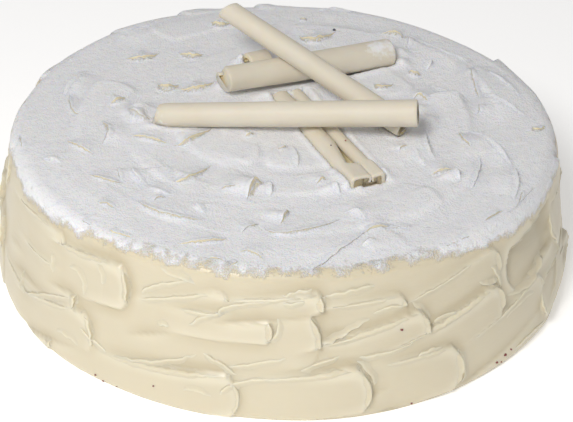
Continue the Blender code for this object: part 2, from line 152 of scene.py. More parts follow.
def wall_passes():
    """The passes on the far side, drawn by chance in rows, then those in front."""
    draw = random.Random(7)
    hidden = []
    for height, half_width in HIDDEN_ROWS:
        start = HIDDEN_FROM + draw.uniform(0, 45)
        while start < HIDDEN_TO:
            length = draw.uniform(44, 66)
            rise = draw.uniform(-3, 6)
            hidden.append((start, height + draw.uniform(-2, 2), start + length, height + rise,
                           half_width + draw.uniform(-1.5, 1.5), draw.uniform(-1.2, -0.2),
                           draw.uniform(0.9, 2.1), draw.uniform(0.2, 0.8)))
            start += length * draw.uniform(0.62, 0.82)
    draw.shuffle(hidden)
    return hidden + list(FRONT_PASSES)


WALL_PASSES = wall_passes()


def beside_pass(round_wall, height, start, low_v, end, high_v):
    """How far along and across a pass a place on the wall lies, and the pass's length."""
    lap = 2 * math.pi * UNROLLED_RADIUS
    length = math.hypot(end - start, high_v - low_v) * MM
    cos, sin = (end - start) * MM / length, (high_v - low_v) * MM / length
    right = (round_wall - start * MM + lap / 2) % lap - lap / 2
    up = height - low_v * MM
    return right * cos + up * sin, (up * cos - right * sin) * math.copysign(1, end - start), length


def wall_relief(round_wall, height):
    """How far the passes stand out of the plain wall."""
    relief = 0.4 * MM * np.sin(6 * round_wall / UNROLLED_RADIUS + height / (19 * MM))
    for start, low_v, end, high_v, half_width, low, high, tilt in WALL_PASSES:
        along, across, length = beside_pass(round_wall, height, start, low_v, end, high_v)
        relief = lay_pass(relief, along, across, length, half_width * MM, low * MM, high * MM,
                          tilt * MM, WALL_BEAD, WALL_SOFTNESS)
    return relief


def wall_place(round_wall, height, lift):
    """A place on the wall or the rounded rim, lifted off it."""
    around = round_wall / UNROLLED_RADIUS - math.pi / 2
    turned = np.arccos(np.clip((height - DROP) / RIM_ROUND, 0, 1))
    lowness = np.clip((DROP - height) / (DROP - FLARE_START), 0, 1)
    radius = TOP_RADIUS + (BASE_RADIUS - TOP_RADIUS) * (1 - (1 - lowness) ** FLARE_POWER)
    radius = radius + OVAL * np.cos(2 * around) - RIM_ROUND * (1 - np.sin(turned))
    tuck = BASE_TUCK * eased(1 - height / (2.5 * MM))
    depth = wall_relief(round_wall, height) + lift
    radius = radius + depth * np.sin(turned) - tuck
    rise = height + depth * np.cos(turned)
    return np.stack([radius * np.cos(around), radius * np.sin(around), rise], axis=-1)


# Sweeps of the knife over the top, oldest first: middle of the sweep's circle, its
# radius, the angles where it starts and ends, half its width, its depth at the
# start and its height at the end.
TOP_SWEEPS = (
    (0, 0, 96, 20, 130, 13, -0.4, 1.0),
    (0, 0, 98, 128, 232, 12, -0.6, 0.9),
    (0, 0, 97, 214, 300, 12, -0.3, 0.9),
    (0, 0, 98, 292, 392, 13, -0.8, 1.0),
    (4, 2, 76, 150, 60, 11, -0.6, 1.2),
    (2, 4, 78, -8, 66, 12, -0.9, 1.3),
    (-4, 0, 74, 246, 156, 11, -0.6, 1.3),
    (0, 6, 80, 244, 318, 11, -0.5, 1.1),
    (8, 4, 62, -62, 22, 10, -0.8, 1.4),
    (-6, 6, 52, 262, 176, 9, -0.9, 1.3),
    (0, 10, 58, 232, 300, 9, -0.6, 1.4),
    (6, 8, 46, 120, 20, 10, -0.5, 1.0),
    (-4, 6, 34, 170, 262, 9, -0.7, 1.2),
    (2, 2, 30, 330, 250, 10, -0.4, 1.0),
    (0, 10, 24, 60, 200, 9, -0.3, 0.9),
)

# Lips where the knife lifted off the top: start, middle and end of the lip's crest,
# its height, how far the slope behind it runs, and how clean of sugar its steep face
# is. The steep face is on the right of the way from start to end.
LIPS = (
    (-56, 30, -52, 24, -47, 29, 2.8, 8, 1.0), (-75, 10, -72, 11, -69, 15, 2.2, 7, 1.0),
    (-77, -4, -73, -13, -75, -22, 1.9, 7, 0.9), (-46, -21, -39, -18, -31, -6, 2.0, 8, 1.0),
    (-64, -14, -56, -18, -48, -19, 1.5, 7, 0.9), (-61, -38, -60, -44, -54, -51, 1.9, 8, 0.2),
    (-44, -49, -37, -46, -30, -35, 1.7, 8, 1.0), (-57, -62, -45, -73, -30, -74, 1.4, 9, 0.7),
    (-66, -83, -62, -85, -57, -88, 1.4, 6, 1.0), (-40, -91, -30, -90, -21, -87, 1.3, 7, 1.0),
    (-14, -59, -12, -52, -8, -48, 3.6, 10, 1.0), (-1, -76, 1, -71, 2, -66, 2.0, 7, 1.0),
    (-7, -78, 3, -83, 22, -72, 1.3, 9, 0.6), (31, -81, 36, -78, 42, -76, 1.6, 6, 1.0),
    (24, -67, 29, -68, 32, -73, 1.9, 7, 0.0), (42, 79, 49, 78, 53, 77, 1.8, 6, 0.9),
    (54, 47, 56, 43, 59, 44, 2.2, 6, 1.0), (84, 59, 73, 61, 57, 79, 1.9, 12, 0.0),
    (82, 54, 82, 37, 84, 25, 1.3, 7, 0.7), (103, 9, 93, 20, 85, 29, 2.0, 14, 0.0),
    (79, 22, 71, 27, 63, 36, 1.5, 12, 0.0), (93, -29, 87, -15, 78, -3, 2.0, 14, 0.0),
    (91, -55, 94, -42, 93, -29, 1.5, 10, 0.1), (105, -41, 101, -56, 93, -70, 1.6, 6, 1.0),
    (59, -38, 64, -36, 69, -36, 1.8, 7, 1.0), (71, -43, 70, -38, 68, -34, 1.8, 8, 0.0),
    (62, -27, 59, -17, 59, -5, 1.6, 10, 0.0), (-72, 52, -65, 50, -58, 56, 2.0, 7, 1.0),
    (-49, 58, -43, 54, -38, 57, 2.2, 7, 1.0), (-36, 87, -32, 82, -27, 86, 2.2, 7, 1.0),
    (-46, 26, -39, 24, -32, 31, 2.4, 8, 1.0), (5, 76, 12, 70, 21, 79, 2.6, 8, 1.0),
    (-67, 5, -62, -3, -56, -2, 2.4, 9, 0.5), (-113, -20, -111, -25, -108, -25, 2.0, 6, 1.0),
    (104, 1, 106, -1, 110, 3, 2.4, 6, 1.0), (38, 34, 41, 29, 46, 33, 1.8, 6, 1.0),
    (30, 100, 22, 104, 12, 101, 1.6, 9, 0.3), (-60, 84, -70, 77, -78, 66, 1.6, 10, 0.3),
    (-88, 40, -93, 30, -96, 16, 1.4, 9, 0.2), (88, 48, 96, 38, 101, 26, 1.4, 8, 0.2),
)

LIP_PARTS = 8
FACE_WIDTH = 0.9 * MM
LOWEST_BARE_LIP = 1.2 * MM

# Slighter lips, too low to change the cake's form.
SLIGHT_LIPS = (
    (-93, 19, -91, 7, -87, 1, 1.0, 5, 0.8), (-90, -19, -84, -25, -77, -30, 1.1, 5, 0.9),
    (-66, -39, -66, -42, -65, -47, 0.8, 3, 0.6), (-54, -51, -49, -56, -44, -58, 1.0, 8, 0.0),
    (-78, -45, -71, -49, -64, -50, 1.0, 5, 0.8), (-51, -63, -49, -61, -46, -60, 0.8, 4, 0.7),
    (-72, -66, -69, -66, -65, -69, 0.8, 4, 0.8), (-84, -72, -83, -71, -82, -72, 0.8, 3, 0.8),
    (-79, -74, -76, -78, -73, -81, 0.9, 4, 0.7), (-16, -95, -11, -96, -6, -100, 1.0, 5, 0.9),
    (-16, -83, -13, -79, -9, -76, 0.7, 5, 0.6), (34, -84, 33, -87, 30, -90, 1.2, 4, 1.0),
    (8, -107, 18, -98, 31, -81, 0.6, 6, 0.5), (38, -78, 44, -76, 51, -74, 0.5, 4, 0.4),
    (-34, -63, -33, -67, -30, -70, 1.3, 8, 0.0), (-25, -53, -22, -53, -19, -52, 0.7, 4, 0.7),
    (-5, -57, -5, -51, -7, -46, 1.4, 7, 0.0), (13, -49, 15, -46, 17, -45, 1.4, 5, 1.0),
    (23, -54, 21, -50, 19, -47, 1.3, 6, 0.0), (-17, -13, -15, -12, -13, -10, 1.2, 5, 1.0),
    (-3, -22, -1, -22, 1, -20, 1.0, 5, 1.0), (5, -37, 5, -27, 1, -18, 1.0, 8, 0.1),
    (53, 77, 55, 73, 54, 66, 1.4, 4, 0.4), (55, 22, 58, 25, 61, 18, 1.3, 4, 1.0),
    (83, 19, 83, 15, 82, 10, 0.8, 4, 0.7), (96, -47, 94, -55, 92, -63, 1.1, 5, 0.8),
    (78, -71, 82, -66, 86, -63, 1.1, 5, 0.9), (73, -5, 74, -11, 77, -18, 1.1, 5, 0.9),
    (74, -48, 78, -38, 80, -25, 0.9, 7, 0.2), (47, -21, 48, -19, 51, -17, 0.8, 4, 0.8),
    (54, -19, 55, -26, 58, -31, 0.8, 5, 0.1), (26, -107, 35, -105, 43, -102, 0.8, 4, 0.9),
    (-20, -105, -18, -103, -16, -102, 0.8, 4, 0.9), (-28, -103, -25, -100, -20, -103, 0.8, 4, 0.8),
    (-110, -25, -107, -28, -104, -31, 1.0, 5, 0.2),
    (-98, -34, -94, -35, -90, -37, 1.0, 6, 0.1), (60, -90, 69, -87, 76, -83, 0.8, 4, 0.8),
    (45, -99, 51, -95, 60, -88, 0.7, 4, 0.6), (5, 93, 7, 91, 8, 93, 1.2, 4, 0.8),
    (61, 47, 64, 52, 61, 55, 1.5, 5, 0.0), (-22, 47, -20, 49, -20, 53, 1.6, 4, 0.0),
)


def lip_line(lip, parts, longer=0.0):
    """Points along the bent crest of a lip, which can run on past both its ends."""
    x0, y0, x1, y1, x2, y2 = [value * MM for value in lip[:6]]
    way = np.linspace(-longer, 1 + longer, parts + 1)
    pull_x, pull_y = 2 * x1 - (x0 + x2) / 2, 2 * y1 - (y0 + y2) / 2
    return ((1 - way) ** 2 * x0 + 2 * way * (1 - way) * pull_x + way ** 2 * x2,
            (1 - way) ** 2 * y0 + 2 * way * (1 - way) * pull_y + way ** 2 * y2)


def lip_relief(x, y, lip):
    """The hump behind a lip, and where its steep face is clean of sugar."""
    height, back, clean = lip[6] * MM, lip[7] * MM, lip[8]
    line_x, line_y = lip_line(lip, LIP_PARTS)
    reach = 2.4 * back
    near = (x > line_x.min() - reach) & (x < line_x.max() + reach)
    near &= (y > line_y.min() - reach) & (y < line_y.max() + reach)
    px, py = x[near], y[near]
    best = np.full(px.shape, np.inf)
    signed, travel = np.zeros(px.shape), np.zeros(px.shape)
    for part in range(LIP_PARTS):
        step_x, step_y = line_x[part + 1] - line_x[part], line_y[part + 1] - line_y[part]
        off_x, off_y = px - line_x[part], py - line_y[part]
        size = math.hypot(step_x, step_y)
        share = np.clip((off_x * step_x + off_y * step_y) / size ** 2, 0, 1)
        gap = np.hypot(off_x - share * step_x, off_y - share * step_y)
        closer = gap < best
        best = np.where(closer, gap, best)
        signed = np.where(closer, np.copysign(gap, step_x * off_y - step_y * off_x), signed)
        travel = np.where(closer, (part + share) / LIP_PARTS, travel)
    taper = eased(travel / 0.45) * eased((1 - travel) / 0.4)
    behind = np.exp(-(np.maximum(signed, 0) / back) ** 2)
    face = np.exp(-(np.minimum(signed, 0) / FACE_WIDTH) ** 2)
    relief, bare = np.zeros(x.shape), np.zeros(x.shape)
    relief[near] = height * behind * face * taper
    bare_width = 0.45 * (height - LOWEST_BARE_LIP)
    if bare_width > 0.2 * MM:
        bare[near] = clean * np.exp(-((signed + 0.4 * MM) / bare_width) ** 2) * np.minimum(1, 2 * taper)
    return relief, bare


def top_relief(x, y):
    """Height of the frosting over the plain top, and where no sugar lies."""
    relief = 0.5 * MM * np.sin(x / (23 * MM) + 1.0) * np.sin(y / (27 * MM) + 0.4)
    bare = np.zeros(x.shape)
    for middle_x, middle_y, radius, start, end, half_width, low, high in TOP_SWEEPS:
        turn = 1 if end > start else -1
        reach = np.hypot(x - middle_x * MM, y - middle_y * MM)
        angle = np.degrees(np.arctan2(y - middle_y * MM, x - middle_x * MM))
        gone = ((angle - start) * turn + 20) % 360 - 20
        along = np.radians(gone) * radius * MM
        length = math.radians(abs(end - start)) * radius * MM
        relief = lay_pass(relief, along, reach - radius * MM, length, half_width * MM,
                          low * MM, high * MM, TOP_TILT, TOP_BEAD, TOP_SOFTNESS)
    for lip in LIPS + SLIGHT_LIPS:
        raised, face = lip_relief(x, y, lip)
        relief, bare = relief + raised, np.maximum(bare, face)
    return relief, bare


# Where the rolls lie in the frosting: both ends of each roll's middle line, in
# millimetres, half the width and height of the room that it takes, and how far that
# room lies to the right of the line, seen along it.
ROLL_LINES = {
    "front_roll": ((-54.2, -1.8, 67.2), (54.2, -14.8, 79.4), 5.5, 5.5, 0),
    "long_roll": ((49.8, -6.5, 67.6), (-26.6, 51.8, 89.6), 5.5, 5.5, 0),
    "broad_roll": ((-24.8, 20.4, 71.8), (45.2, 57.0, 66.6), 6.8, 6.8, 0),
    "double_scroll": ((1.6, 25.0, 62.1), (35.2, -46.0, 65.0), 8.2, 4.3, 1.0),
    "small_curl": ((-17.5, 46.6, 65.6), (-8.6, 51.5, 65.4), 5.2, 4.4, 0),
}
SWELL_BESIDE_ROLL = 0.7 * MM
BED_SLACK = 0.25 * MM


def bed_rolls(x, y, z):
    """Presses the rolls into the frosting, which rises a little beside them."""
    for start, end, half_width, half_height, aside in ROLL_LINES.values():
        (x0, y0, z0), (x1, y1, z1) = start, end
        length = math.hypot(x1 - x0, y1 - y0) * MM
        dx, dy = (x1 - x0) * MM / length, (y1 - y0) * MM / length
        along = (x - x0 * MM) * dx + (y - y0 * MM) * dy
        across = np.abs((y - y0 * MM) * dx - (x - x0 * MM) * dy + aside * MM)
        middle = (z0 + (z1 - z0) * np.clip(along / length, 0, 1)) * MM
        over = np.clip(across / (half_width * MM), 0, 1)
        under = middle - half_height * MM * np.sqrt(1 - over ** 2)
        past = np.maximum(-along, along - length)
        sunk = eased((z - middle + half_height * MM) / (2 * MM)) * eased((1 * MM - past) / (2 * MM))
        swell = np.exp(-((across - (half_width + 1.4) * MM) / (1.3 * MM)) ** 2)
        z = z + SWELL_BESIDE_ROLL * swell * sunk
        within = (across < (half_width - 0.2) * MM) & (past < 0.4 * MM)
        z = np.where(within, np.minimum(z, under - BED_SLACK), z)
    return z


# Soft lumps of frosting that a roll has pushed up: place, half width and height.
LUMPS = (
    (-63, 1, 4.5, 2.2), (-60, 8, 4.0, 1.8), (-66, 6, 3.5, 1.8), (-57, -8, 4.0, 1.2),
    (57.5, 12, 3.5, 3.0), (60, 5, 3.5, 2.0), (50, 60, 4.0, 2.5), (51, 52, 3.5, 2.0),
    (-21, 50, 3.0, 2.5), (-28, 27, 4.5, 2.4), (5, 16, 5.0, 1.2), (-10, 20, 5.0, 1.4),
    (40, -38, 3.5, 1.5), (30, -47, 4.0, 1.6), (24, -44, 3.5, 1.0),
)
RIM_BLEND = 10 * MM
RIPPLE = 0.10 * MM
RIPPLES_IN_A_METRE = 90


def skin_place(x, y):
    """Height of the frosting's skin on top, and where no sugar lies."""
    around = np.arctan2(y, x)
    past_edge = np.hypot(x, y) - top_edge(around)
    wall_share = eased((past_edge + RIM_BLEND) / RIM_BLEND)
    top, bare = top_relief(x, y)
    crumpled = 1 + 0.3 * np.sin(x / (1.9 * MM)) * np.sin(y / (1.6 * MM))
    for place_x, place_y, spread, height in LUMPS:
        away = np.hypot(x - place_x * MM, y - place_y * MM) / (spread * MM)
        top = top + height * MM * np.exp(-away ** 2) * crumpled
    wall = wall_relief(unrolled(around), CAKE_HEIGHT - past_edge)
    relief = (1 - wall_share) * top + wall_share * wall
    return bed_rolls(x, y, CAKE_HEIGHT + relief), bare


def ripple(places):
    """Small unevenness of soft frosting."""
    return RIPPLE * np.array([noise.fractal(Vector(p) * RIPPLES_IN_A_METRE, 0.9, 2.1, 3) for p in places])


def sugar_over_rim(places):
    """How fully sugar covers the rounded rim: it runs lower on the cake's two sides."""
    around = np.degrees(np.arctan2(places[:, 1], places[:, 0]))
    from_front = np.abs((around + 90 + 180) % 360 - 180)
    lower = 5.5 * MM * eased((from_front - 22) / 38) - 3 * MM * eased((from_front - 62) / 30)
    patchy = np.array([noise.fractal(Vector(p) * 170, 0.8, 2.0, 3) for p in places])
    reach = np.hypot(places[:, 0], places[:, 1])
    inward = eased((TOP_RADIUS - RIM_ROUND - reach) / (3 * MM))
    above_line = places[:, 2] - (SUGAR_LINE - lower) + 2.0 * MM * patchy
    return np.maximum(inward, eased(above_line / SUGAR_LINE_SOFTNESS + 0.5))


def ridges(heights):
    """Where a grid of heights stands over or under its surroundings, from 1 to -1, used as painted shade
    in hollows and painted light on ridges.
    """
    reach, width = 5, 11
    level = heights
    for axis in (0, 1):
        spare = [(0, 0), (0, 0)]
        spare[axis] = (reach + 1, reach)
        total = np.cumsum(np.pad(level, spare, mode="edge"), axis=axis)
        count = total.shape[axis]
        after = np.take(total, range(width, count), axis)
        before = np.take(total, range(count - width), axis)
        level = (after - before) / width
    return np.clip((heights - level) / (0.5 * MM), -1, 1)


def add_layers(mesh, **layers):
    """Gives each point of a mesh the numbers that its material goes by."""
    for layer, values in layers.items():
        numbers = np.array(values, np.float32)
        mesh.attributes.new(layer, "FLOAT", "POINT").data.foreach_set("value", numbers)


def mesh_from(name, points, faces, largest_face=None):
    """A smooth mesh, with any face that has more corners than the largest cut up."""
    mesh = bpy.data.meshes.new(name)
    mesh.from_pydata(points, [], faces)
    shape = bmesh.new()
    shape.from_mesh(mesh)
    if largest_face:
        cut_up = [face for face in shape.faces if len(face.verts) > largest_face]
        bmesh.ops.triangulate(shape, faces=cut_up)
    bmesh.ops.recalc_face_normals(shape, faces=shape.faces)
    shape.to_mesh(mesh)
    shape.free()
    mesh.shade_smooth()
    return mesh


def frosting_mesh():
    """The top is a square grid bent into a disc, and its border, walked once round,
    carries the rim and the wall. Both are finer towards the front."""
    line = np.linspace(-1, 1, 2 * TOP_RINGS + 1)
    a, b = np.meshgrid(line, line, indexing="ij")
    wide = np.abs(a) >= np.abs(b)
    with np.errstate(divide="ignore", invalid="ignore"):
        angle = np.where(wide, math.pi / 4 * b / a, math.pi / 2 - math.pi / 4 * a / b)
    angle = np.nan_to_num(angle)
    unit = np.where(wide, a, b)
    angle = np.where(unit < 0, angle + math.pi, angle)
    unit = np.abs(unit)
    angle = angle - FRONT_BIAS * np.cos(angle)
    reach = unit * top_edge(angle)
    x, y = (reach * np.cos(angle)).ravel(), (reach * np.sin(angle)).ravel()
    z, bare = skin_place(x, y)
    top = np.stack([x, y, z], axis=1)
    top[:, 2] += ripple(top)
    count = len(line)
    faces = []
    for i in range(count - 1):
        for j in range(count - 1):
            corner = i * count + j
            faces.append((corner, corner + count, corner + count + 1, corner + 1))
    points = [top]
    sugar = [(1 - bare) * sugar_over_rim(top)]
    # Painted shade and light: the skin's local height, from -1 in hollows to 1 on ridges, with bare
    # places raised past 1.
    ridge = [ridges(z.reshape(count, count)).ravel() + SKIN_BARE_TONE * bare]

    last = count - 1
    border = [i * count for i in range(last)]
    border += [last * count + j for j in range(last)]
    border += [i * count + last for i in range(last, 0, -1)]
    border += [j for j in range(last, 0, -1)]
    round_wall = unrolled(angle.ravel()[border])
    turns = [math.pi / 2 * step / RIM_ROWS for step in range(1, RIM_ROWS + 1)]
    rim = [DROP + RIM_ROUND * math.cos(turn) for turn in turns]
    levels = rim + [DROP * (1 - step / WALL_ROWS) for step in range(1, WALL_ROWS + 1)]
    total = count * count
    previous = border
    depths = []
    for height in levels:
        plain = np.full(len(border), height)
        smooth_ring = wall_place(round_wall, plain, 0.0)
        ring = wall_place(round_wall, plain, ripple(smooth_ring))
        points.append(ring)
        sugar.append(sugar_over_rim(ring))
        depths.append(wall_relief(round_wall, plain))
        places = list(range(total, total + len(border)))
        total += len(border)
        for place in range(len(border)):
            after = (place + 1) % len(border)
            faces.append((previous[place], places[place], places[after], previous[after]))
        previous = places
    faces.append(tuple(reversed(previous)))
    # The wall's painted shade and light, from its relief.
    ridge.append(ridges(np.array(depths)).ravel())
    mesh = mesh_from("frosting", np.concatenate(points).tolist(), faces)
    add_layers(mesh, sugar=np.concatenate(sugar), ridge=np.concatenate(ridge))
    return mesh


class Shade:
    """A socket of a material's node, so that shader maths reads as arithmetic."""

    def __init__(self, tree, socket=None):
        self.tree = tree
        self.socket = socket

    def node(self, kind, settings=None, sockets=None, output=0):
        made = self.tree.nodes.new(kind)
        for name, value in (settings or {}).items():
            setattr(made, name, value)
        for name, value in (sockets or {}).items():
            if isinstance(value, Shade):
                self.tree.links.new(value.socket, made.inputs[name])
            else:
                made.inputs[name].default_value = value
        return Shade(self.tree, made.outputs[output])

    def maths(self, operation, *values, clamp=False):
        return self.node("ShaderNodeMath", {"operation": operation, "use_clamp": clamp},
                         dict(enumerate(values)))

    def __add__(self, other):
        return self.maths("ADD", self, other)

    __radd__ = __add__

    def __mul__(self, other):
        return self.maths("MULTIPLY", self, other)

    __rmul__ = __mul__

    def __sub__(self, other):
        return self.maths("SUBTRACT", self, other)

    def __rsub__(self, other):
        return self.maths("SUBTRACT", other, self)

    def clamped(self):
        return self.maths("ADD", self, 0.0, clamp=True)

    def noise(self, place, scale, detail=2.0, roughness=0.5):
        return self.node("ShaderNodeTexNoise", None,
                         {"Vector": place, "Scale": scale, "Detail": detail, "Roughness": roughness})

    def place(self):
        return self.node("ShaderNodeTexCoord", output=3)

    def layer(self, name):
        return self.node("ShaderNodeAttribute", {"attribute_name": name}, output=2)

    def bump(self, height, strength, distance):
        return self.node("ShaderNodeBump", None,
                         {"Height": height, "Strength": strength, "Distance": distance})

    def blend(self, share, first, second):
        return self.node("ShaderNodeMix", {"data_type": "RGBA"},
                         {"Factor": share, "A": first, "B": second}, output=2)

    def feed(self, shader, name):
        self.tree.links.new(self.socket, shader.inputs[name])


def colour(rgb, strength=1.0):
    return (*(strength * part for part in rgb), 1.0)


def new_material(name):
    """A material, its shader, and a handle on its nodes."""
    material = bpy.data.materials.new(name)
    material.use_nodes = True
    return material, material.node_tree.nodes["Principled BSDF"], Shade(material.node_tree)


def set_sockets(node, values):
    for name, value in values.items():
        node.inputs[name].default_value = value


def frosting_material():
    material, shader, paint = new_material("frosting")
    place = paint.place()
    sugar = paint.layer("sugar")
    ridge = paint.layer("ridge")

    # Sifted sugar lies in grains, so its edge is broken up and its surface is rough.
    grain = paint.noise(place, 1250, 3, 0.7)
    clump = paint.noise(place, 380, 3, 0.6)
    cover = ((sugar - 0.5) * 2.0 + (grain - 0.5) * 2.0 + (clump - 0.5) * 1.5 + 0.4).clamped()
    cloud = paint.noise(place, 28, 3, 0.5)
    # Painted shade and light: the cream is darker in the relief's hollows and paler on its ridges, and
    # clouded at random.
    paleness = (ridge * 0.33 + 0.4 + 0.2 * cloud).clamped()
    cream = paint.blend(paleness, colour(CREAM_IN_PAINTED_SHADE), colour(CREAM_IN_PAINTED_LIGHT))
    # Bare cream where no sugar lies; the painted light on lip crests draws more of it in.
    cream = paint.blend((ridge - 1).clamped(), cream, colour(CREAM_BARE))
    ivory = paint.blend(((1 - cover) * sugar * 0.75).clamped(), cream, colour(CREAM_DEEP))
    # The sugar is painted a little darker in hollows and paler on ridges, as shade and light, besides its
    # random clumps and grains.
    powder = paint.blend((clump * 1.2 + grain * 0.8 + ridge * 0.35 - 0.5).clamped(),
                         colour(SUGAR, 0.89), colour(SUGAR))
    thin_dust = (paint.noise(place, 170, 3, 0.6) * 2.4 - 1.0).clamped() * 0.5
    powder = paint.blend(thin_dust, powder, colour(SUGAR_SHADE))
    paint.blend(cover, ivory, powder).feed(shader, "Base Color")
    (0.33 + 0.1 * cloud + cover * 0.5).clamped().feed(shader, "Roughness")
    drag = paint.node("ShaderNodeMapping", None, {"Vector": place, "Scale": (1, 1, 6)})
    satin = paint.noise(drag, 120, 3, 0.55)
    height = satin * 0.1 + cover * (grain * 0.8 + clump * 0.7)
    paint.bump(height, 0.8, 1.1 * MM).feed(shader, "Normal")
    set_sockets(shader, {"Subsurface Weight": 0.3, "Subsurface Radius": (1.0, 0.75, 0.45),
                         "Subsurface Scale": 2.5 * MM, "Specular IOR Level": 0.45})
    return material


def place_piece(name, mesh, material):
    piece = bpy.data.objects.new(name, mesh)
    bpy.context.scene.collection.objects.link(piece)
    mesh.materials.append(material)
    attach(piece, "root")
    return piece


cream_and_sugar = frosting_material()
frosting = place_piece("frosting", frosting_mesh(), cream_and_sugar)
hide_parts("frosted_cake")

# The fine crests.
# Where the palette knife lifts off, it draws the soft frosting up into thin crests
# that lean over its mark. They run along the lips on top and along the ends and the
# upper edges of the passes round the wall, with slighter ones between the passes.

# A lip's cut, from its back to its foot: how far behind the crest, the share of the
# crest's rise, how far it is sunk into the skin, how far it leans over the face, how
# bare of sugar it is, and its painted tone, from -1 for painted shade in a hollow to 1
# for painted light on a ridge.
LIP_CUT = (
    (3.0, 0.0, 0.15, 0.0, 0.0, 0.0),
    (2.2, 0.08, 0.05, 0.0, 0.0, 0.0),
    (1.5, 0.27, 0.02, 0.0, 0.0, 0.0),
    (0.9, 0.55, 0.0, 0.0, 0.0, 0.0),
    (0.4, 0.85, 0.0, 0.0, 0.0, 0.5),
    (0.0, 1.0, 0.0, 0.0, 0.0, 1.0),
    (0.0, 0.97, 0.0, 0.28, 0.5, 1.0),
    (0.0, 0.72, 0.0, 0.42, 1.0, 0.4),
    (0.0, 0.35, 0.0, 0.34, 1.0, -0.4),
    (-0.55, 0.1, 0.0, 0.0, 0.4, -0.5),
    (-1.3, 0.0, 0.2, 0.0, 0.0, -0.3),
)
LIP_BARE_TONE = 2.2
CREST_PARTS = 25
PASS_STATIONS = 34


def lip_strips(lines, sides, rise, clean, place_at):
    """Thin crests laid along lines on the skin, each with a face that hangs over.

    lines and sides have one row for each crest, and sides point behind it. Gives the
    points, the faces, how bare of sugar each point is, and its painted tone, from -1 for
    painted shade to 1 for painted light.
    """
    crests, stations = rise.shape
    way = np.linspace(0, 1, stations)[None, :]
    taper = eased(way / 0.35) * eased((1 - way) / 0.3) + np.zeros_like(rise)
    rise = rise * taper
    sink = 0.35 * MM * (1 - taper)
    lean_way = place_at(lines - 0.8 * MM * sides, 0) - place_at(lines + 0.8 * MM * sides, 0)
    lean_way[..., 2] *= 0.3
    lean_way /= np.linalg.norm(lean_way, axis=-1, keepdims=True) + 1e-12
    swept_clean = clean[:, None] * np.minimum(1, 3 * taper)
    rows, bare, painted_tone = [], [], []
    for behind, share, sunk, lean, bare_share, row_painted_tone in LIP_CUT:
        place = place_at(lines + behind * MM * sides, share * rise - sunk * MM - sink)
        rows.append(place + lean_way * (lean * MM * taper)[..., None])
        bare.append(swept_clean * bare_share)
        painted_tone.append(np.full_like(rise, row_painted_tone))
    points = np.stack(rows, axis=2).reshape(-1, 3)
    depth = len(LIP_CUT)
    faces = []
    for crest in range(crests):
        for station in range(stations - 1):
            for row in range(depth - 1):
                corner = (crest * stations + station) * depth + row
                faces.append((corner, corner + depth, corner + depth + 1, corner + 1))
    return points, faces, np.stack(bare, axis=2).reshape(-1), np.stack(painted_tone, axis=2).reshape(-1)


def left_of(lines):
    """A step of length one to the left of the way along a line, at each of its points."""
    ways = np.gradient(lines, axis=-2)
    ways /= np.linalg.norm(ways, axis=-1, keepdims=True)
    return np.stack([-ways[..., 1], ways[..., 0]], axis=-1)


def uneven(lines, scale, share):
    """A number near one that changes along a line, by about the share given."""
    flat = lines.reshape(-1, 2)
    values = [1 + share * noise.fractal(Vector((p[0], p[1], 0.3)) * scale, 0.8, 2.0, 2) for p in flat]
    return np.array(values).reshape(lines.shape[:2])


def wavering(lines, sides, scale, sway):
    """Lines that sway to both sides a little, as torn frosting does."""
    return lines + sides * ((uneven(lines, scale, 1.0) - 1) * sway)[..., None]


def top_lips():
    """The crests of the lips on top."""
    lips = LIPS + SLIGHT_LIPS
    lines = np.array([np.stack(lip_line(lip, CREST_PARTS, 0.2), axis=-1) for lip in lips])
    farthest = top_edge(np.arctan2(lines[..., 1], lines[..., 0])) + 2 * MM
    lines = lines * np.minimum(1, farthest / np.linalg.norm(lines, axis=-1))[..., None]
    sides = left_of(lines)
    lines = wavering(lines, sides, 420, 0.45 * MM)
    height = np.array([lip[6] for lip in lips])[:, None] * MM
    rise = (0.15 * MM + 0.22 * height) * uneven(lines, 500, 0.7)
    clean = np.array([lip[8] for lip in lips])

    def place_at(places, lift):
        x, y = places[..., 0], places[..., 1]
        z, bare = skin_place(x.ravel(), y.ravel())
        past_edge = np.clip(np.hypot(x, y) - top_edge(np.arctan2(y, x)), 0, RIM_ROUND)
        fall = RIM_ROUND - np.sqrt(RIM_ROUND ** 2 - past_edge ** 2) + 0.2 * past_edge
        return np.stack([x, y, z.reshape(x.shape) + lift - fall], axis=-1)

    return lip_strips(lines, sides, rise, clean, place_at)


